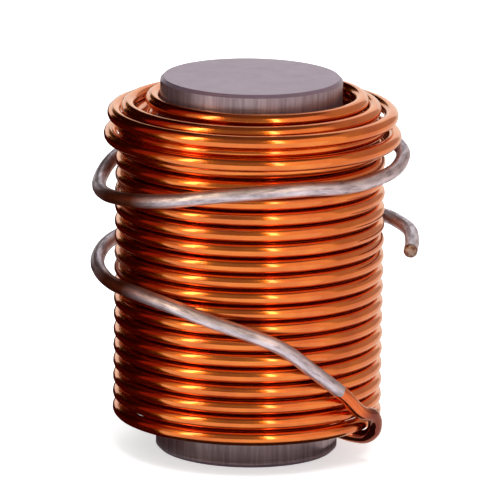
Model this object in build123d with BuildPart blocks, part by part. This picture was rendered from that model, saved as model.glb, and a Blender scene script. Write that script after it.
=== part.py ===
from build123d import *
from math import cos, pi, radians, sin
import os

# Iron core inductor: a pressed iron powder rod with one enamelled copper wire wound on it in three
# full layers and two turns of a fourth, and both ends of the wire left as leads bent round the coil.
# Millimetres. The origin is the middle of the rod's lower end, +Z is up the rod, and -Y is the front.

# Rod
core_diameter = 20.0
core_length = 41.7
core_edge = 0.35  # bevel that the press tool leaves round both ends

# Wire and how it is laid
wire_diameter = 1.56  # over the enamel
bore_clearance = 0.05  # between the rod and the first layer
layer_clearance = 0.05  # between one layer and the next
turn_gap = 0.19  # between one turn and the next
top_margin = 1.7  # the least that the rod stands out above the winding
top_slack = 0.3  # the last two turns of a layer lie this much further apart
coil_start = 4.42  # height of the third layer's lowest turn above the rod's lower end
inner_rise = 0.9  # the first two layers lie this much higher than the third
step_middle = 90.0  # azimuth at which every turn steps to the next one: the back of the coil
step_half = 20.0  # half of the angle that a step takes
dip_swing = 30.0  # angle in which it dips below the coil on its way from layer two to layer three
dip_depth = 0.95  # how far below the third layer's lowest turn it dips
swing = 40.0  # angle in which the wire passes from one layer to the next at the top
crest_swing = 20.0  # angle in which it crosses from the third layer's top turn to the fourth layer
crest_rise = 0.95  # how far above the third layer's top turn it crosses
top_pull = 0.53  # the third layer's top turn lies this much further in than the others
ring_pull = 0.35  # and so does the second layer's, at the right
outer_turns = 2
outer_pull = 0.37  # and so does the fourth layer's, all round the front
outer_lift = 0.3  # and it lies this much higher than the middle of its groove
outer_shift = 0.2  # the fourth layer sits this far to the right and to the back of the rod's axis

wire_radius = wire_diameter / 2
pitch = wire_diameter + turn_gap
layer_step = wire_diameter + layer_clearance
layer_1 = core_diameter / 2 + bore_clearance + wire_radius
layer_2 = layer_1 + layer_step
layer_3 = layer_2 + layer_step
# At the back the fourth layer rides over the steps of the third; in front it sinks into its grooves
groove_rise = (wire_diameter**2 - ((pitch + top_slack) / 2) ** 2) ** 0.5
layer_4 = layer_3 + groove_rise + layer_clearance + outer_shift * 2**0.5

step_from = step_middle + step_half
step_to = step_middle - step_half

# A layer has as many turns as the rod has room for
room = core_length - top_margin - wire_radius - coil_start - inner_rise - 2 * top_slack
layer_turns = 1 + int(room / pitch)

# Leads, as (clearance from the third layer's surface, azimuth, height of the wire's centre). The
# finish lead's heights are below the fourth layer's last turn. Both are listed in the wire's own
# order, which runs clockwise seen from above.
coil_radius = layer_3 + wire_radius
start_lead = [
    (1.75, 31, 24.3),
    (0.75, 52, 23.9),
    (0.35, 80, 23.3),
    (0.3, 112, 22.7),
    (0.4, 140, 22.2),
    (0.95, 163, 21.5),
    (1.05, 181, 20.5),
    (0.5, 200, 19.7),
    (0.1, 220, 19.5),
    (0.05, 240, 18.8),
    (0.05, 258, 17.5),
    (0.05, 271, 16.4),
    (0.05, 284, 14.8),
    (0.05, 297, 12.1),
    (0.1, 312, 8.9),
]
finish_lead = [
    (0.9, 46, -1.7),
    (1.05, 24, -1.6),
    (1.2, 4, -2.2),
    (0.6, -12, -2.9),
    (0.1, -28, -3.1),
    (0.05, -48, -3.1),
    (0.05, -70, -2.8),
    (0.05, -90, -3.1),
    (0.05, -106, -3.7),
    (0.1, -125, -4.7),
    (0.45, -144, -5.4),
    (0.9, -163, -5.8),
    (0.95, -182, -5.6),
    (0.5, -201, -4.1),
    (0.35, -224, -3.4),
    (0.4, -246, -3.2),
    (0.45, -266, -3.1),
]
# The start lead's free end stands out to the right and points forward
free_end = [(17.6, -7.0, 24.0), (17.85, -2.8, 24.15), (17.6, 1.5, 24.4), (16.4, 5.1, 24.5)]
# Below the coil's right front the lead folds back on itself and runs in under the layers
hook = [
    (12.8, -9.2, 6.2),
    (13.75, -8.2, 5.75),
    (14.1, -7.4, 4.7),
    (13.9, -6.9, 3.6),
    (13.1, -6.3, 2.85),
    (11.6, -6.0, 2.9),
    (10.1, -6.4, 3.4),
]
# Clearance from layer one, azimuth, height
hook_rise = [(0.37, -42, 3.8), (0.15, -58, 4.3), (0.05, -78, 4.85), (0.01, -98, 5.2)]
entry_azimuth = -118  # where the wire has reached the height of the first turn


def on_circle(radius, azimuth, height, centre=(0, 0)):
    """A place on the wire, and the way it runs there: clockwise seen from above."""
    angle = radians(azimuth)
    point = Vector(centre[0] + radius * cos(angle), centre[1] + radius * sin(angle), height)
    return point, Vector(sin(angle), -cos(angle), 0)


def two_arcs(start, end):
    """The smooth pair of arcs from one place on the wire to another, as Edges of the open line."""
    (p, u), (q, v) = start, end
    chord = q - p
    along = chord.dot(u + v)
    spread = 2 * (1 - u.dot(v))
    if spread > 1e-9:
        reach = ((along**2 + spread * chord.dot(chord)) ** 0.5 - along) / spread
    else:
        reach = chord.dot(chord) / (4 * chord.dot(v))
    corner, next_corner = p + u * reach, q - v * reach
    middle = (corner + next_corner) * 0.5
    TangentArc(p, middle, tangent=u)
    TangentArc(middle, q, tangent=next_corner - corner)


def follow(places):
    """The line through a list of places."""
    for start, end in zip(places, places[1:]):
        two_arcs(start, end)


def through(points, first=None, last=None):
    """Places through free points. Each runs the way that its neighbours lie."""
    places = []
    for i, point in enumerate(points):
        before, after = points[max(i - 1, 0)], points[min(i + 1, len(points) - 1)]
        places.append((point, (after - before).normalized()))
    if first:
        places[0] = first
    if last:
        places[-1] = last
    return places


def turn(radius, height, centre=(0, 0), start=step_to, end=step_from):
    """One turn, from where it leaves the step at the back round to the step again."""
    azimuths = (start, step_middle - 180, end)
    ThreePointArc(*[on_circle(radius, azimuth, height, centre)[0] for azimuth in azimuths])


def step(radius, height, next_height, centre=(0, 0)):
    """The short slanted stretch at the back, from one turn to the next."""
    two_arcs(on_circle(radius, step_from, height, centre), on_circle(radius, step_to, next_height, centre))


def lead_point(clearance, azimuth, height):
    return on_circle(coil_radius + clearance + wire_radius, azimuth, height)[0]


heights = [coil_start + k * pitch + max(0, k - layer_turns + 3) * top_slack for k in range(layer_turns)]
inner_heights = [height + inner_rise for height in heights]
bottom, top = heights[0], heights[-1]
inner_bottom, inner_top = inner_heights[0], inner_heights[-1]
# The fourth layer's turns lie over the grooves of the third, from the top one down
outer_heights = [(heights[-k - 1] + heights[-k - 2]) / 2 for k in range(outer_turns)]
outer_heights[0] += outer_lift
outer_centre = (outer_shift, outer_shift)
ring_1, ring_2, ring_3, ring_4 = layer_1, layer_2 - ring_pull, layer_3 - top_pull, layer_4 - outer_pull
top_front = ((ring_2 - ring_1) / 2, -(ring_1 + ring_2) / 2, inner_top)

with BuildPart() as core:
    with BuildSketch():
        Circle(core_diameter / 2)
    extrude(amount=core_length)
    chamfer(core.edges().filter_by(GeomType.CIRCLE), core_edge)

with BuildLine() as route:
    # Start lead: free end, round the back and left, down across the front, and in under the coil
    tail = [Vector(*point) for point in free_end]
    around = [lead_point(*point) for point in start_lead]
    fold = [Vector(*point) for point in hook]
    rise = [on_circle(layer_1 + out, azimuth, height)[0] for out, azimuth, height in hook_rise]
    entry = on_circle(layer_1, entry_azimuth, inner_bottom)
    follow(through(tail + around + fold + rise + [entry[0]], last=entry))

    # Layer one, upwards. Its first turn begins where the lead comes in
    two_arcs(entry, on_circle(layer_1, step_from, inner_bottom))
    for low, high in zip(inner_heights, inner_heights[1:]):
        step(layer_1, low, high)
        if high < inner_top:
            turn(layer_1, high)

    # The top turn swings from layer two at the right to layer one at the left
    follow([
        on_circle(layer_1, step_to, inner_top),
        on_circle(ring_2, step_to - swing, inner_top),
        on_circle(ring_2, 0, inner_top),
    ])
    ThreePointArc((ring_2, 0, inner_top), top_front, (-ring_1, 0, inner_top))
    follow([
        on_circle(ring_1, 180, inner_top),
        on_circle(ring_1, step_from + swing, inner_top),
        on_circle(layer_2, step_from, inner_top),
    ])

    # Layer two, downwards
    for high, low in zip(inner_heights[:0:-1], inner_heights[-2::-1]):
        step(layer_2, high, low)
        turn(layer_2, low, end=step_from + dip_swing if low == inner_bottom else step_from)

    # Under the coil to layer three, and upwards
    follow([
        on_circle(layer_2, step_from + dip_swing, inner_bottom),
        on_circle(layer_2, step_from, bottom - dip_depth),
        on_circle(layer_3, step_to, bottom - dip_depth),
        on_circle(layer_3, step_to - dip_swing, bottom),
    ])
    for low, high in zip(heights, heights[1:]):
        turn(layer_3, low, start=step_to - dip_swing if low == bottom else step_to)
        step(layer_3, low, high)
    two_arcs(on_circle(layer_3, step_to, top), on_circle(ring_3, step_to - swing, top))
    turn(ring_3, top, start=step_to - swing, end=step_from + crest_swing)

    # Over the coil's top edge, behind the rod, to layer four's first turn
    outer_top = outer_heights[0]
    outer_from = step_to - crest_swing
    follow([
        on_circle(ring_3, step_from + crest_swing, top),
        on_circle(layer_3, step_from, top + crest_rise),
        on_circle(layer_4, step_from - crest_swing, top + crest_rise, outer_centre),
        on_circle(layer_4, outer_from, outer_top, outer_centre),
        on_circle(ring_4, outer_from - swing, outer_top, outer_centre),
    ])
    turn(ring_4, outer_top, outer_centre, start=outer_from - swing, end=step_from + swing)
    two_arcs(
        on_circle(ring_4, step_from + swing, outer_top, outer_centre),
        on_circle(layer_4, step_from, outer_top, outer_centre),
    )

    # Layer four goes on downwards
    for high, low in zip(outer_heights, outer_heights[1:]):
        step(layer_4, high, low, outer_centre)
        turn(layer_4, low, outer_centre)

    # Finish lead: out from under the fourth layer, across the front and round to the back
    step(layer_4, outer_heights[-1], outer_heights[-1] - pitch, outer_centre)
    leave = on_circle(layer_4, step_to, outer_heights[-1] - pitch, outer_centre)
    points = [lead_point(out, azimuth, outer_heights[-1] + drop) for out, azimuth, drop in finish_lead]
    follow(through([leave[0]] + points, first=leave))

with BuildPart() as winding:
    with BuildSketch(Plane(origin=route.line @ 0, z_dir=route.line % 0)):
        Circle(wire_radius)
    sweep(path=route.line)

core.part.label = "core"
winding.part.label = "winding"

os.makedirs("parts", exist_ok=True)
for name, piece in {"core": core, "winding": winding}.items():
    export_step(piece.part, f"parts/{name}.step")

wire_length = sum(arc.length for arc in route.edges())
print(f"wire {wire_length:.0f} mm in {len(route.edges())} arcs")
print(f"volume {winding.part.volume:.1f}, section times length {pi * wire_radius**2 * wire_length:.1f}")
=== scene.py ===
# %% [markdown]
# # An iron core inductor
#
# A choke like this one is two things: a rod of pressed iron powder, and five metres of enamelled
# copper wire wound on it. The rod comes from the frame as it is. The wire comes too, but as a plain
# solid, so this lesson winds it again as a smooth tube that knows how far along itself each point is.
# That is what lets the enamel, the bare tin on the leads and the drawing lines follow the wire.

import math

import bpy
import numpy as np
from mathutils import Matrix, Vector


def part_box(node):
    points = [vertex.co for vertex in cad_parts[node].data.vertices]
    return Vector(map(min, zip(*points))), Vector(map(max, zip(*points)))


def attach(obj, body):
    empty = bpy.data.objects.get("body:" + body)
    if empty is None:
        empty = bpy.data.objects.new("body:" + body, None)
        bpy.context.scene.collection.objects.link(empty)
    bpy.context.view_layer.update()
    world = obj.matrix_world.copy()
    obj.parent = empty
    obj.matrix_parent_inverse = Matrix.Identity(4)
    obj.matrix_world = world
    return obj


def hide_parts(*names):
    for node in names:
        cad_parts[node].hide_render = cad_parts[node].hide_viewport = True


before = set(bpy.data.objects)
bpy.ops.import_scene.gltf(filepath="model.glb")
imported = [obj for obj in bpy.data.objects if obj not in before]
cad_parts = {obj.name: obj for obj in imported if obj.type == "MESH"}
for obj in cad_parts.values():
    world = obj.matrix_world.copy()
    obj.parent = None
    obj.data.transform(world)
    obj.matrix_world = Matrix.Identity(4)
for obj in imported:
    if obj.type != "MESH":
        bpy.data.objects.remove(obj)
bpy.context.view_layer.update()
scene = bpy.context.scene
core_low, core_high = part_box("core")
coil_low, coil_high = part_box("winding")
print("nodes", sorted(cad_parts), "and the rod is", round(core_high[2] - core_low[2], 4), "m high")
print("the coil stands between", round(coil_low[2], 4), "and", round(coil_high[2], 4), "m")

# %% [markdown]
# ## The camera
#
# The part is shown as small goods are: from a little above, with a long lens from well back, so
# that the turns stay nearly parallel. The camera is placed first, because every later
# choice is judged through it. It leans by under a degree, as a hand-set tripod does.

# %% Camera
MM = 0.001


def aim(thing, target, lean=0.0):
    """Turns a camera or a lamp to face a point, leaning by some degrees about its own axis."""
    facing = (Vector(target) - thing.location).to_track_quat("-Z", "Y").to_matrix().to_4x4()
    place = Matrix.Translation(thing.location)
    thing.matrix_world = place @ facing @ Matrix.Rotation(math.radians(lean), 4, "Z")


distance = 818.4 * MM
elevation = math.radians(13.32)
lean = 0.863
target = Vector((0.1 * MM, 0, 22.18 * MM))
camera = bpy.data.objects.new("camera", bpy.data.cameras.new("camera"))
scene.collection.objects.link(camera)
camera.data.sensor_width = 36.0
camera.data.lens = 535.8
camera.data.clip_start = 0.01
camera.location = target + Vector((0, -math.cos(elevation), math.sin(elevation))) * distance
aim(camera, target, lean)
scene.camera = camera
print("camera", [round(v, 3) for v in camera.location])

# %% [markdown]
# ## The route of the wire
#
# The wire could be a helix, but a machine doesn't lay one. Each turn lies flat, beside the last,
# and steps over by one pitch in a short stretch at the back. So the route is a list of stations,
# each with its angle round the rod, its radius and its height, and it eases from one to the next.
# Between two stations that are alike, that is a plain arc. The top turns are pulled in a little,
# and the two turns of layer four lie a hair off the rod's axis, as turns guided by hand do.

# %% Sizes of the winding, in millimetres
core_radius = 1000 * (core_high[0] - core_low[0]) / 2
wire_radius = 0.78
bore_clearance = 0.05
layer_gap = 0.05
layer_step = 2 * wire_radius + layer_gap
layer_1 = core_radius + bore_clearance + wire_radius
layer_2 = layer_1 + layer_step
layer_3 = layer_2 + layer_step
pitch = 1.75
turns, outer_turns = 20, 2
last_tight_turn = turns - 3
top_slack = 0.3
coil_start = 4.42
inner_rise = 0.9
outer_shift = 0.2
outer_lift = 0.3
groove_rise = math.sqrt(4 * wire_radius**2 - ((pitch + top_slack) / 2) ** 2)
layer_4 = layer_3 + groove_rise + layer_gap + outer_shift * math.sqrt(2)
coil_radius = layer_3 + wire_radius
heights = [coil_start + k * pitch + max(0, k - last_tight_turn) * top_slack for k in range(turns)]
inner = [height + inner_rise for height in heights]
outer = [(heights[-k - 1] + heights[-k - 2]) / 2 for k in range(outer_turns)]
outer[0] += outer_lift
print("layers at", [round(r, 2) for r in (layer_1, layer_2, layer_3, layer_4)])

# %% Where the top rings lie, and how far the steps reach
ring_pull, top_pull, outer_pull = 0.35, 0.53, 0.37
ring_2 = layer_2 - ring_pull
ring_3 = layer_3 - top_pull
ring_4 = layer_4 - outer_pull
entry_azimuth = -118
behind = 90
step_angle, swing, dip_swing, crest_swing = 40, 40, 30, 20
dip_depth, crest_rise = 0.95, 0.95
before = behind + step_angle / 2
after = behind - step_angle / 2
print("top rings at", [round(r, 2) for r in (layer_1, ring_2, ring_3, ring_4)])
print("steps from", before, "to", after, "degrees")

# %% The stations of the coil
stations = []


def lay(azimuth, radius, height, shift=0.0):
    """Adds a station at the next place clockwise, seen from above, that has this azimuth."""
    if stations:
        last = stations[-1][0]
        azimuth = last - ((last - azimuth) % 360 or 360)
    stations.append((azimuth, radius, height, shift))


# Layer one, upwards, from where the wire comes in at the front
lay(entry_azimuth, layer_1, inner[0])
for low, high in zip(inner, inner[1:]):
    lay(before, layer_1, low)
    lay(after, layer_1, high)

# The top turn passes from layer two at the right to layer one at the left
lay(after - swing, ring_2, inner[-1])
lay(0, ring_2, inner[-1])
lay(180, layer_1, inner[-1])
lay(before + swing, layer_1, inner[-1])

# Layer two, downwards
lay(before, layer_2, inner[-1])
for high, low in zip(inner[:0:-1], inner[-2::-1]):
    lay(after, layer_2, low)
    if low > inner[0]:
        lay(before, layer_2, low)

# Under the coil to layer three, and upwards
lay(before + dip_swing, layer_2, inner[0])
lay(before, layer_2, heights[0] - dip_depth)
lay(after, layer_3, heights[0] - dip_depth)
lay(after - dip_swing, layer_3, heights[0])
for low, high in zip(heights, heights[1:]):
    lay(before, layer_3, low)
    lay(after, layer_3, high)

# The top turn lies a little further in, and goes over the top edge behind the rod
lay(after - swing, ring_3, heights[-1])
lay(before + crest_swing, ring_3, heights[-1])
lay(before, layer_3, heights[-1] + crest_rise)
lay(before - crest_swing, layer_4, heights[-1] + crest_rise, outer_shift)

# The two turns of layer four
lay(after - crest_swing, layer_4, outer[0], outer_shift)
lay(after - crest_swing - swing, ring_4, outer[0], outer_shift)
lay(before + swing, ring_4, outer[0], outer_shift)
lay(before, layer_4, outer[0], outer_shift)
lay(after, layer_4, outer[1], outer_shift)
lay(before, layer_4, outer[1], outer_shift)
lay(after, layer_4, outer[1] - pitch, outer_shift)
print(len(stations), "stations,", round((stations[0][0] - stations[-1][0]) / 360, 2), "turns")

# %% [markdown]
# ## The leads
#
# Each end of the wire is bent round the finished coil by hand. A hand bend isn't an arc, so the
# leads go through free points instead, each with its clearance from the coil, and the wire keeps
# the smoothest line between them. Under the right front the start lead folds back on itself.

# %% The points of the leads
start_lead = [
    (1.75, 31, 24.3),
    (0.75, 52, 23.9),
    (0.35, 80, 23.3),
    (0.3, 112, 22.7),
    (0.4, 140, 22.2),
    (0.95, 163, 21.5),
    (1.05, 181, 20.5),
    (0.5, 200, 19.7),
    (0.1, 220, 19.5),
    (0.05, 240, 18.8),
    (0.05, 258, 17.5),
    (0.05, 271, 16.4),
    (0.05, 284, 14.8),
    (0.05, 297, 12.1),
    (0.1, 312, 8.9),
]
finish_lead = [
    (0.9, 46, 33.55),
    (1.05, 24, 33.6),
    (1.2, 4, 33.0),
    (0.6, -12, 32.3),
    (0.1, -28, 32.1),
    (0.05, -48, 32.1),
    (0.05, -70, 32.4),
    (0.05, -90, 32.1),
    (0.05, -106, 31.5),
    (0.1, -125, 30.5),
    (0.45, -144, 29.8),
    (0.9, -163, 29.4),
    (0.95, -182, 29.6),
    (0.5, -201, 31.1),
    (0.35, -224, 31.8),
    (0.4, -246, 32.0),
    (0.45, -266, 32.1),
]
free_end = [(17.6, -7.0, 24.0), (17.85, -2.8, 24.15), (17.6, 1.5, 24.4), (16.4, 5.1, 24.5)]
hook = [
    (12.8, -9.2, 6.2),
    (13.75, -8.2, 5.75),
    (14.1, -7.4, 4.7),
    (13.9, -6.9, 3.6),
    (13.1, -6.3, 2.85),
    (11.6, -6.0, 2.9),
    (10.1, -6.4, 3.4),
]
hook_rise = [(0.37, -42, 3.8), (0.15, -58, 4.3), (0.05, -78, 4.85), (0.01, -98, 5.2)]
start_count = len(free_end + start_lead + hook + hook_rise)
print(start_count, "points on the start lead,", len(finish_lead), "on the finish lead")

# %% [markdown]
# The points on the coil are given as clearance, azimuth and height, and the free ones as x, y and z.
# A smooth line through them could be a spline object, but a formula keeps its exact place in reach
# for measuring, so the two kinds of line are worked out here and joined end to end.

# %% Lines through points and through stations


def round_rod(radius, azimuth, height, shift=0.0):
    """The point at this place, in millimetres."""
    angle = np.radians(azimuth)
    x = shift + radius * np.cos(angle)
    y = shift + radius * np.sin(angle)
    return np.stack([x, y, height + 0 * angle], -1)


def on_coil(points):
    """Points that lie on the finished coil, each given as clearance, azimuth and height."""
    return [round_rod(coil_radius + out + wire_radius, azimuth, height) for out, azimuth, height in points]


def smooth_line(points, spacing, skip_first=False, skip_last=False):
    """A line through free points, as a cubic whose slope at each point follows its neighbours."""
    points = np.array(points, float)
    lengths = np.linalg.norm(np.diff(points, axis=0), axis=1)
    along = np.concatenate([[0], np.cumsum(lengths)])
    slopes = np.gradient(points, along, axis=0)
    line = []
    for i in range(int(skip_first), len(lengths) - int(skip_last)):
        t = np.linspace(0, 1, max(2, round(lengths[i] / spacing)), endpoint=False)[:, None]
        ease = t * t * (3 - 2 * t)
        leaving = slopes[i] * lengths[i] * t * (1 - t) ** 2
        arriving = slopes[i + 1] * lengths[i] * t * t * (1 - t)
        line.append(points[i] + (points[i + 1] - points[i]) * ease + leaving - arriving)
    return np.concatenate(line)


def coil_line(stations, spacing):
    """The coil through its stations, easing from each radius and height to the next."""
    line = []
    for (a, r0, z0, s0), (b, r1, z1, s1) in zip(stations, stations[1:]):
        count = max(4, round(math.radians(a - b) * r0 / spacing(r0)))
        t = np.linspace(0, 1, count, endpoint=False)
        ease = t * t * (3 - 2 * t)
        radius = r0 + (r1 - r0) * ease
        height = z0 + (z1 - z0) * ease
        line.append(round_rod(radius, a + (b - a) * t, height, s0 + (s1 - s0) * ease))
    return np.concatenate(line)


print("lines ready")

# %% Join them into one route
lead_spacing, hidden_spacing, shown_spacing = 0.3, 1.3, 0.75
run_in = 6  # degrees of the coil that each lead follows, so that it meets the coil without a kink


def coil_spacing(radius):
    """How far apart the points are: closer from the full radius of layer three outwards, which shows."""
    return hidden_spacing if radius < layer_3 - layer_gap else shown_spacing


rise = [round_rod(layer_1 + out, azimuth, height) for out, azimuth, height in hook_rise]
entry = [round_rod(layer_1, entry_azimuth - turn, inner[0]) for turn in (0, run_in)]
leave = [round_rod(layer_4, after + turn, outer[-1] - pitch, outer_shift) for turn in (run_in, 0)]
start_points = free_end + on_coil(start_lead) + hook + rise + entry
finish_points = leave + on_coil(finish_lead)
parts = [
    smooth_line(start_points, lead_spacing, skip_last=True),
    coil_line(stations, coil_spacing),
    smooth_line(finish_points, lead_spacing, skip_first=True),
    [finish_points[-1]],
]
route = np.concatenate(parts)
along = np.concatenate([[0], np.cumsum(np.linalg.norm(np.diff(route, axis=0), axis=1))])
print(len(route), "points,", round(along[-1]), "mm of wire")

# %% [markdown]
# ## The wire
#
# A curve with a round bevel is the quickest way to a tube that keeps its section through every
# bend. It is made a mesh once its shape is right. Blender gives that mesh a UV map that runs along
# and round the tube, but by point, and the points are closer together on the leads. So the map is
# stretched to real millimetres along the wire, and patterns on it keep their size.

# %% The tube
sides = 16  # flat faces round the wire, which the shading smooths
smooth_angle = math.radians(50)


def deselect():
    """Clears the selection, because an operator acts on all that is selected."""
    for thing in bpy.context.selected_objects:
        thing.select_set(False)


deselect()
line = bpy.data.curves.new("winding_wire", "CURVE")
line.dimensions = "3D"
line.twist_mode = "MINIMUM"
line.bevel_depth = wire_radius * MM
line.bevel_resolution = sides // 2 - 2
line.use_fill_caps = True
spline = line.splines.new("POLY")
spline.points.add(len(route) - 1)
spline.points.foreach_set("co", np.c_[route * MM, np.ones(len(route))].ravel())
wire = bpy.data.objects.new("winding_wire", line)
scene.collection.objects.link(wire)
bpy.context.view_layer.objects.active = wire
wire.select_set(True)
bpy.ops.object.convert(target="MESH")
wire = bpy.context.object
bpy.ops.object.shade_smooth_by_angle(angle=smooth_angle)
print(len(wire.data.vertices), "vertices and", len(wire.data.polygons), "faces")

# %% Close the cut ends and stretch the map
merge_distance = 0.01 * MM
bpy.ops.object.mode_set(mode="EDIT")
bpy.ops.mesh.select_all(action="SELECT")
bpy.ops.mesh.remove_doubles(threshold=merge_distance)
bpy.ops.object.mode_set(mode="OBJECT")
uv = wire.data.uv_layers.active.uv
places = np.empty(2 * len(uv))
uv.foreach_get("vector", places)
places = places.reshape(-1, 2)
places[:, 0] = np.interp(places[:, 0] * (len(route) - 1), np.arange(len(route)), along)
cut_ends = [face for face in wire.data.polygons if len(face.vertices) == 3]  # the sides have four
uv.foreach_set("vector", places.ravel())
wire.data.uv_layers.active.name = "along_and_round"
print("map runs to", round(places[:, 0].max()), "mm;", len(cut_ends), "faces in the cut ends")

# %% [markdown]
# ## Materials
#
# One small function adds a node with its settings and links. Colours are written as hex, as they
# look on a screen, and turned to the linear values that Blender works in.

# %% Helpers for materials
WHOLE, FIRST, SECOND, MIXED = 0, 6, 7, 2  # a colour Mix node's factor, its two colours and its result


def colour(code):
    """A screen colour as Blender's linear values."""
    values = [int(code[i : i + 2], 16) / 255 for i in (1, 3, 5)]
    return tuple(v / 12.92 if v <= 0.04045 else ((v + 0.055) / 1.055) ** 2.4 for v in values) + (1,)


def new_material(name):
    """An empty material and its output node."""
    material = bpy.data.materials.new(name)
    material.use_nodes = True
    material.node_tree.nodes.clear()
    return material, material.node_tree.nodes.new("ShaderNodeOutputMaterial")


def add(tree, kind, inputs=None, stops=(), **settings):
    """Adds a node. An input is given by name or number, as a value or as the output that feeds it.
    Stops are a colour ramp's places and colours. Settings are the node's own properties."""
    node = tree.nodes.new("ShaderNode" + kind)
    for name, value in settings.items():
        setattr(node, name, value)
    for name, value in (inputs or {}).items():
        if isinstance(value, bpy.types.NodeSocket):
            tree.links.new(value, node.inputs[name])
        else:
            node.inputs[name].default_value = value
    for _ in stops[2:]:
        node.color_ramp.elements.new(0.5)
    for i, (place, code) in enumerate(stops):
        node.color_ramp.elements[i].position = place
        node.color_ramp.elements[i].color = colour(code)
    return node


print("helpers ready")

# %% [markdown]
# ### Where the tin stops
#
# The leads are scraped bare and dipped in solder after the coil is wound, so the tin ends at a
# sharp line: on the start lead just above the fold, on the finish lead where it leaves the coil.
# On its bend at the left each lead's tin is tinted brown, which is painted reflection of the copper
# coil beside it. Each place is given as a point near the wire, and the map along the wire turns it
# into a length.

# %% Places along the wire
bare_start = Vector((10.3, -12.0, 9.5))
bare_finish = Vector((13.9, 8.6, 33.8))
# where each lead's tin is tinted brown as painted reflection of the copper coil, from one point to the
# other
copper_reflection_on_start = [(0.9, 190, 20.2), (0.1, 222, 19.3)]
copper_reflection_on_finish = [(0.3, -129, 30.3), (0.9, -168, 29.4)]


def length_at(point):
    """How far along the wire the place nearest to this point is, in millimetres."""
    return float(along[np.linalg.norm(route - np.array(point), axis=1).argmin()])


tin_start = length_at(bare_start)
tin_finish = length_at(bare_finish)
copper_reflections = [[length_at(point) for point in on_coil(ends)] for ends in (copper_reflection_on_start, copper_reflection_on_finish)]
print("tin to", round(tin_start), "mm and from", round(tin_finish), "mm of", round(along[-1]))
# the places printed here are the painted copper reflection on the tin
print("thin tin at", [[round(end) for end in ends] for ends in copper_reflections])

# %% [markdown]
# ### Enamelled copper
#
# Magnet wire is drawn copper under a few hundredths of a millimetre of clear amber enamel. The eye
# gets two layers from it: the metal's orange reflection through the enamel, and the enamel's own
# uncoloured one, strongest at a grazing angle. So the copper is a metal with a coat. Drawing leaves
# faint lines along the wire. For 16 mm past the tin, over the hook, the copper is painted darker:
# painted shade and painted dark reflection.
# Real drawing lines are a few hundredths of a millimetre wide. They are drawn as nine round the
# wire, because finer ones don't show.

# %% Enamelled copper
clouds_per_mm = 0.26
line_scale = (0.12, 9.0, 1.0)  # per millimetre along the wire, and per turn round it
hook_shade_length = 16
material, output = new_material("enamelled_copper_and_tin")
tree = material.node_tree
along_and_round = add(tree, "UVMap", uv_map="along_and_round").outputs["UV"]
length = add(tree, "SeparateXYZ", {"Vector": along_and_round}).outputs["X"]
object_place = add(tree, "TexCoord").outputs["Object"]

cloud = {"Vector": object_place, "Scale": clouds_per_mm / MM, "Detail": 3.0, "Roughness": 0.5}
clouds = add(tree, "TexNoise", cloud).outputs["Fac"]
line_place = add(tree, "Mapping", {"Vector": along_and_round, "Scale": line_scale}).outputs[0]
drawn = {"Vector": line_place, "Scale": 1.0, "Detail": 4.0, "Roughness": 0.6}
lines = add(tree, "TexNoise", drawn).outputs["Fac"]
copper_stops = [(0.3, "#D87A26"), (0.55, "#E88F32"), (0.75, "#F09E40")]
copper_tone = add(tree, "ValToRGB", {"Fac": clouds}, copper_stops).outputs[0]

# painted shade and painted dark reflection on the hook, for 16 mm past the tin
reach = {"Value": length, "From Min": tin_start, "From Max": tin_start + hook_shade_length}
hook_shade_place = add(tree, "MapRange", reach).outputs[0]
hook_shade_stops = [(0.0, "#FFE6D8"), (0.22, "#FFE6D8"), (0.36, "#8A5A50"), (0.7, "#9A6A5C"), (0.95, "#FFFFFF")]
hook_shade = add(tree, "ValToRGB", {"Fac": hook_shade_place}, hook_shade_stops).outputs[0]
both = {WHOLE: 1.0, FIRST: copper_tone, SECOND: hook_shade}
copper_colour = add(tree, "Mix", both, data_type="RGBA", blend_type="MULTIPLY").outputs[MIXED]
smooth_to_rough = {"Value": lines, "From Min": 0.3, "From Max": 0.7, "To Min": 0.14, "To Max": 0.24}
copper_look = {
    "Base Color": copper_colour,
    "Roughness": add(tree, "MapRange", smooth_to_rough).outputs[0],
    "Normal": add(tree, "Bump", {"Height": clouds, "Strength": 0.05, "Distance": 0.1 * MM}).outputs[0],
    "Metallic": 1.0,
    "Coat Weight": 0.9,
    "Coat Roughness": 0.07,
    "Coat IOR": 1.55,
    "Coat Tint": colour("#FFD48E"),
}
copper = add(tree, "BsdfPrincipled", copper_look)
# the stretch printed here is the painted shade on the hook
print("enamelled copper, browned from", round(tin_start), "to", round(tin_start + hook_shade_length), "mm")

# %% [markdown]
# ### Tin
#
# Dipped solder is dull, a little uneven and streaked along the wire, and nearly white where it was
# wiped; it is painted grey in its hollows, which is painted shade. So one streaky pattern, three
# millimetres long and an eighth of the way round, gives its tone, its roughness and its relief
# together, and ripples of a millimetre and a half lie over it.

# %% Tin
ripples_per_mm = 0.7
streak_scale = (0.352, 8.0, 1.0)
streak_place = add(tree, "Mapping", {"Vector": along_and_round, "Scale": streak_scale}).outputs[0]
streak = {"Vector": streak_place, "Scale": 1.0, "Detail": 5.0, "Roughness": 0.65}
streaks = add(tree, "TexNoise", streak).outputs["Fac"]
ripple = {"Vector": object_place, "Scale": ripples_per_mm / MM, "Detail": 3.0, "Roughness": 0.55}
ripples = add(tree, "TexNoise", ripple).outputs["Fac"]
# the tone falls with the relief: partly uneven solder, partly painted shade in the hollows
tin_stops = [(0.32, "#887C82"), (0.48, "#C8BCC4"), (0.66, "#EAE0E6")]
tin_colour = add(tree, "ValToRGB", {"Fac": streaks}, tin_stops).outputs[0]
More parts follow.
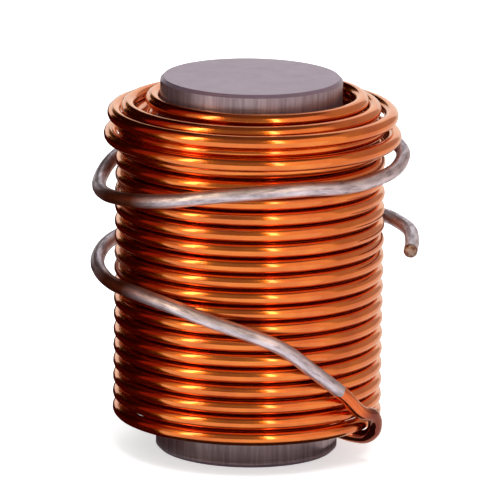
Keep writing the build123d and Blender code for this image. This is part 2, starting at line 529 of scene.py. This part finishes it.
# painted reflection of the copper coil: the tin is tinted brown over each stretch
reflection_stops = [(0.0, "#FFFFFF"), (0.3, "#A86A48"), (0.7, "#A06040"), (1.0, "#FFFFFF")]
for from_end, to_end in copper_reflections:
    reflection_place = add(tree, "MapRange", {"Value": length, "From Min": from_end, "From Max": to_end}).outputs[0]
    reflected_copper = add(tree, "ValToRGB", {"Fac": reflection_place}, reflection_stops).outputs[0]
    both = {WHOLE: 1.0, FIRST: tin_colour, SECOND: reflected_copper}
    tin_colour = add(tree, "Mix", both, data_type="RGBA", blend_type="MULTIPLY").outputs[MIXED]
dull_to_wiped = {"Value": streaks, "From Min": 0.3, "From Max": 0.7, "To Min": 0.52, "To Max": 0.34}
streak_relief = {"Height": streaks, "Strength": 0.35, "Distance": 0.12 * MM}
ripple_relief = {
    "Height": ripples,
    "Normal": add(tree, "Bump", streak_relief).outputs[0],
    "Strength": 0.35,
    "Distance": 0.15 * MM,
}
tin_look = {
    "Base Color": tin_colour,
    "Roughness": add(tree, "MapRange", dull_to_wiped).outputs[0],
    "Normal": add(tree, "Bump", ripple_relief).outputs[0],
    "Metallic": 1.0,
}
tin = add(tree, "BsdfPrincipled", tin_look)
# the places counted here are the painted copper reflection on the tin
print("tin with", len(copper_reflections), "thin places")

# %% [markdown]
# The two finishes meet in one material, which compares the length along the wire with the two
# places. A ripple of half a millimetre keeps the line from being as straight as a cut.

# %% The line between them
edge_ripple = 0.5
wander = {"Value": ripples, "From Min": 0.3, "From Max": 0.7, "To Min": -edge_ripple, "To Max": edge_ripple}
ragged = add(tree, "MapRange", wander).outputs[0]
place = add(tree, "Math", {0: length, 1: ragged}, operation="ADD").outputs[0]
on_start = add(tree, "Math", {0: place, 1: tin_start}, operation="LESS_THAN").outputs[0]
on_finish = add(tree, "Math", {0: place, 1: tin_finish}, operation="GREATER_THAN").outputs[0]
tinned = add(tree, "Math", {0: on_start, 1: on_finish}, operation="ADD", use_clamp=True).outputs[0]
finish = add(tree, "MixShader", {0: tinned, 1: copper.outputs[0], 2: tin.outputs[0]})
tree.links.new(finish.outputs[0], output.inputs["Surface"])
wire.data.materials.clear()
wire.data.materials.append(material)
print("one material for the wire:", material.name)

# %% [markdown]
# ### Cut copper
#
# Both ends are sawn through the tin. That leaves bare copper, scratched and smeared with grey, and
# 2.5 scratches to a millimetre are as fine as the ends can show.

# %% Cut copper
scratches_per_mm = 2.5
material, output = new_material("cut_copper")
tree = material.node_tree
object_place = add(tree, "TexCoord").outputs["Object"]
saw = add(tree, "TexNoise", {"Vector": object_place, "Scale": scratches_per_mm / MM, "Detail": 3.0})
smear_stops = [(0.35, "#6E4A3C"), (0.55, "#A8897A"), (0.7, "#B9AC9C")]
smear = add(tree, "ValToRGB", {"Fac": saw.outputs["Fac"]}, smear_stops).outputs[0]
cut = add(tree, "BsdfPrincipled", {"Base Color": smear, "Metallic": 0.9, "Roughness": 0.5})
tree.links.new(cut.outputs[0], output.inputs["Surface"])
wire.data.materials.append(material)
for face in cut_ends:
    face.material_index = 1
print("wire materials", [slot.name for slot in wire.data.materials])

# %% [markdown]
# ### Pressed iron powder
#
# The rod is iron powder pressed in a die and fired: satin, grey with a cast of lilac, and grainy.
# The die scores its side lengthwise as it is pushed out, so the side's tone is drawn out twenty
# times along the rod. The side's tone is also a little darker and less lilac than the top's, which
# is painted shade. Real grains are under a tenth of a millimetre, and they are drawn at more than
# two tenths, so that they show.

# %% The rod
grains_per_mm, scores_per_mm, patches_per_mm = 4.5, 2.6, 0.42
score_stretch = (1.0, 1.0, 0.05)
side_slope = 0.5  # the part of a normal that points up or down: less than this is the side
material, output = new_material("pressed_iron_powder")
tree = material.node_tree
object_place = add(tree, "TexCoord").outputs["Object"]
grain = {"Vector": object_place, "Scale": grains_per_mm / MM, "Detail": 2.0, "Roughness": 0.6}
grains = add(tree, "TexNoise", grain).outputs["Fac"]
patch = {"Vector": object_place, "Scale": patches_per_mm / MM, "Detail": 4.0, "Roughness": 0.6}
patches = add(tree, "TexNoise", patch).outputs["Fac"]
score_place = add(tree, "Mapping", {"Vector": object_place, "Scale": score_stretch}).outputs[0]
score = {"Vector": score_place, "Scale": scores_per_mm / MM, "Detail": 3.0, "Roughness": 0.6}
scores = add(tree, "TexNoise", score).outputs["Fac"]

normal = add(tree, "NewGeometry").outputs["Normal"]
upward = add(tree, "SeparateXYZ", {"Vector": normal}).outputs["Z"]
slope = add(tree, "Math", {0: upward}, operation="ABSOLUTE").outputs[0]
on_side = add(tree, "Math", {0: slope, 1: side_slope}, operation="LESS_THAN").outputs[0]
top_tone = add(tree, "ValToRGB", {"Fac": patches}, [(0.3, "#958091"), (0.7, "#A38F9F")]).outputs[0]
# the side's tone: the die's scores, set a little darker and less lilac than the top as painted shade
side_scores_and_shade_stops = [(0.32, "#85737A"), (0.5, "#98868D"), (0.68, "#AD9CA2")]
side_scores_and_shade = add(tree, "ValToRGB", {"Fac": scores}, side_scores_and_shade_stops).outputs[0]
rod_tone = add(tree, "Mix", {WHOLE: on_side, FIRST: top_tone, SECOND: side_scores_and_shade}, data_type="RGBA")
rod_look = {
    "Base Color": rod_tone.outputs[MIXED],
    "Normal": add(tree, "Bump", {"Height": grains, "Strength": 0.25, "Distance": 0.05 * MM}).outputs[0],
    "Metallic": 0.8,
    "Roughness": 0.36,
}
powder = add(tree, "BsdfPrincipled", rod_look)
tree.links.new(powder.outputs[0], output.inputs["Surface"])
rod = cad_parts["core"]
rod.data.materials.clear()
rod.data.materials.append(material)
print("rod material", rod.data.materials[0].name)

# %% [markdown]
# ## Floor, backdrop and light
#
# Enamelled wire shows its surroundings more than itself, so most of the studio is screens that only
# reflections see. Two narrow lights in front draw the two bright columns down the coil, and a broad
# panel fills the right. Black cloth at the left gives the dark side, with a dark red screen to soften
# its edge. The turns' lower halves show the floor: a dark card there keeps the left dark, a pale one
# keeps the right light, and a ring of shade under the coil darkens the foot of the rod.

# %% A screen seen only in reflections
middle = Vector((0, 0, 20 * MM))
panel_step = 6


def glow(name, code, strength):
    """A plain emission material."""
    material, output = new_material(name)
    light = add(material.node_tree, "Emission", {"Color": colour(code), "Strength": strength})
    material.node_tree.links.new(light.outputs[0], output.inputs["Surface"])
    return material


def screen(name, left, right, low, high, code, strength, centre=(0.0, 0.0)):
    """A screen between two azimuths in degrees, counted from the camera's side with the right positive,
    and two edges, each given by its distance from the centre and its height in metres."""
    steps = max(2, round((right - left) / panel_step))
    corners = []
    for reach, height in (low, high):
        for i in range(steps + 1):
            angle = math.radians(-90 + left + (right - left) * i / steps)
            x = centre[0] + reach * math.cos(angle)
            y = centre[1] + reach * math.sin(angle)
            corners.append((x, y, height))
    faces = [(i, i + 1, i + steps + 2, i + steps + 1) for i in range(steps)]
    mesh = bpy.data.meshes.new(name)
    mesh.from_pydata(corners, [], faces)
    mesh.materials.append(glow(name, code, strength))
    panel = bpy.data.objects.new(name, mesh)
    scene.collection.objects.link(panel)
    panel.visible_camera = False
    panel.visible_diffuse = False
    panel.visible_shadow = False


print("screens are drawn in steps of", panel_step, "degrees")

# %% Screens round the part
wall = 0.7
foot = (wall, 0.0)
screen_top = (wall, 1.6)
panel_top = (wall, 0.9)
strip_low, strip_high = (wall, 0.05), (wall, 0.8)
leaning_top = (wall + 0.01, 0.9)  # a little further back, so that the thin strip stands before it
screen("black_screen", -148, -104, foot, screen_top, "#401008", 0.25)
screen("high_black_screen", -172, -148, (wall, 0.2), screen_top, "#401008", 0.25)
screen("dark_red_screen", -104, -77, foot, screen_top, "#8A2C30", 0.95)
screen("left_panel", -77, -57, foot, panel_top, "#FFE0C8", 0.55)
screen("left_strip", -58, -46, strip_low, strip_high, "#FFE8C4", 7.0)
screen("thin_strip", -42, -39.5, (wall, 0.1), (wall, 0.5), "#FFE4C4", 4.0)
screen("front_panel", -47, 17, foot, leaning_top, "#FFE9D6", 0.3)
screen("right_strip", 17.5, 24.5, strip_low, strip_high, "#FFE8C4", 7.0)
screen("right_panel", 25, 78, foot, panel_top, "#FFE8DA", 1.0)
screen("far_right_panel", 78, 155, foot, panel_top, "#FFE8DA", 0.5)
screen("ceiling", -180, 180, (0.001, 1.6), (1.4, 1.6), "#E8C8BC", 0.2)
print("walls at", wall, "m")

# %% Cards on the floor
card_height = 1 * MM
card_tip = (-8.8 * MM, -10.9 * MM)
dark_edges = (0.2 * MM, card_height), (0.68, card_height)
pale_edges = (10.5 * MM, card_height), (wall, card_height)
shade_edges = (10.2 * MM, 0.5 * MM), (17.5 * MM, 0.5 * MM)
screen("dark_floor_card", -180, -78, *dark_edges, "#6A1810", 0.3, card_tip)
screen("pale_floor_card", 60, 180, *pale_edges, "#FFF0E8", 0.88)
screen("shade_card", -180, 180, *shade_edges, "#6A5048", 0.3)
print("three cards, with the dark one's tip at", [round(v, 4) for v in card_tip])

# %% [markdown]
# The floor is white paper. To the camera it gives a little light of its own, which lifts it to the
# white of the background and leaves only the shadow at the part's foot.

# %% Floor
floor_radius, floor_light = 3.0, 0.55
bpy.ops.mesh.primitive_circle_add(vertices=96, radius=floor_radius, fill_type="NGON", location=(0, 0, 0))
floor = bpy.context.object
floor.name = "floor"
material, output = new_material("white_paper_floor")
tree = material.node_tree
rays = add(tree, "LightPath")
paper = add(tree, "BsdfDiffuse", {"Color": colour("#F4F4F4")})
white = add(tree, "Emission", {"Color": colour("#FFFFFF"), "Strength": floor_light})
both = add(tree, "AddShader", {0: paper.outputs[0], 1: white.outputs[0]})
shown = add(tree, "MixShader", {0: rays.outputs["Is Camera Ray"], 1: paper.outputs[0], 2: both.outputs[0]})
tree.links.new(shown.outputs[0], output.inputs["Surface"])
floor.data.materials.append(material)
print("floor", 2 * floor_radius, "m across")

# %% [markdown]
# The world is plain white where it is looked at, reflected or seen through, and a softer white as a
# source of light, so that the shadows keep their depth. One large soft lamp hangs above.

# %% World
world = bpy.data.worlds.new("studio")
scene.world = world
world.use_nodes = True
tree = world.node_tree
tree.nodes.clear()
rays = add(tree, "LightPath").outputs
seen = {0: rays["Is Camera Ray"], 1: rays["Is Transmission Ray"]}
looked_at = add(tree, "Math", seen, operation="MAXIMUM").outputs[0]
mirrored = add(tree, "Math", {0: looked_at, 1: rays["Is Glossy Ray"]}, operation="MAXIMUM").outputs[0]
soft = add(tree, "Background", {"Color": colour("#FFFFFF"), "Strength": 0.7})
plain = add(tree, "Background", {"Color": colour("#FFFFFF"), "Strength": 1.0})
mixed = add(tree, "MixShader", {0: mirrored, 1: soft.outputs[0], 2: plain.outputs[0]})
tree.links.new(mixed.outputs[0], add(tree, "OutputWorld").inputs["Surface"])
scene.view_settings.view_transform = "Standard"
print("world", world.name)

# %% Lamp
lamp = bpy.data.objects.new("top_box", bpy.data.lights.new("top_box", "AREA"))
scene.collection.objects.link(lamp)
lamp.data.size = 0.6
lamp.data.energy = 6.0
lamp.location = (0.1, -0.25, 1.0)
aim(lamp, middle)
lamp.visible_camera = False
lamp.visible_glossy = False
print("lamp", lamp.name, "of", lamp.data.energy, "W")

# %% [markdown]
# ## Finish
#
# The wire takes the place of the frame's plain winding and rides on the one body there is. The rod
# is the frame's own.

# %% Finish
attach(wire, "root")
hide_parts("winding")
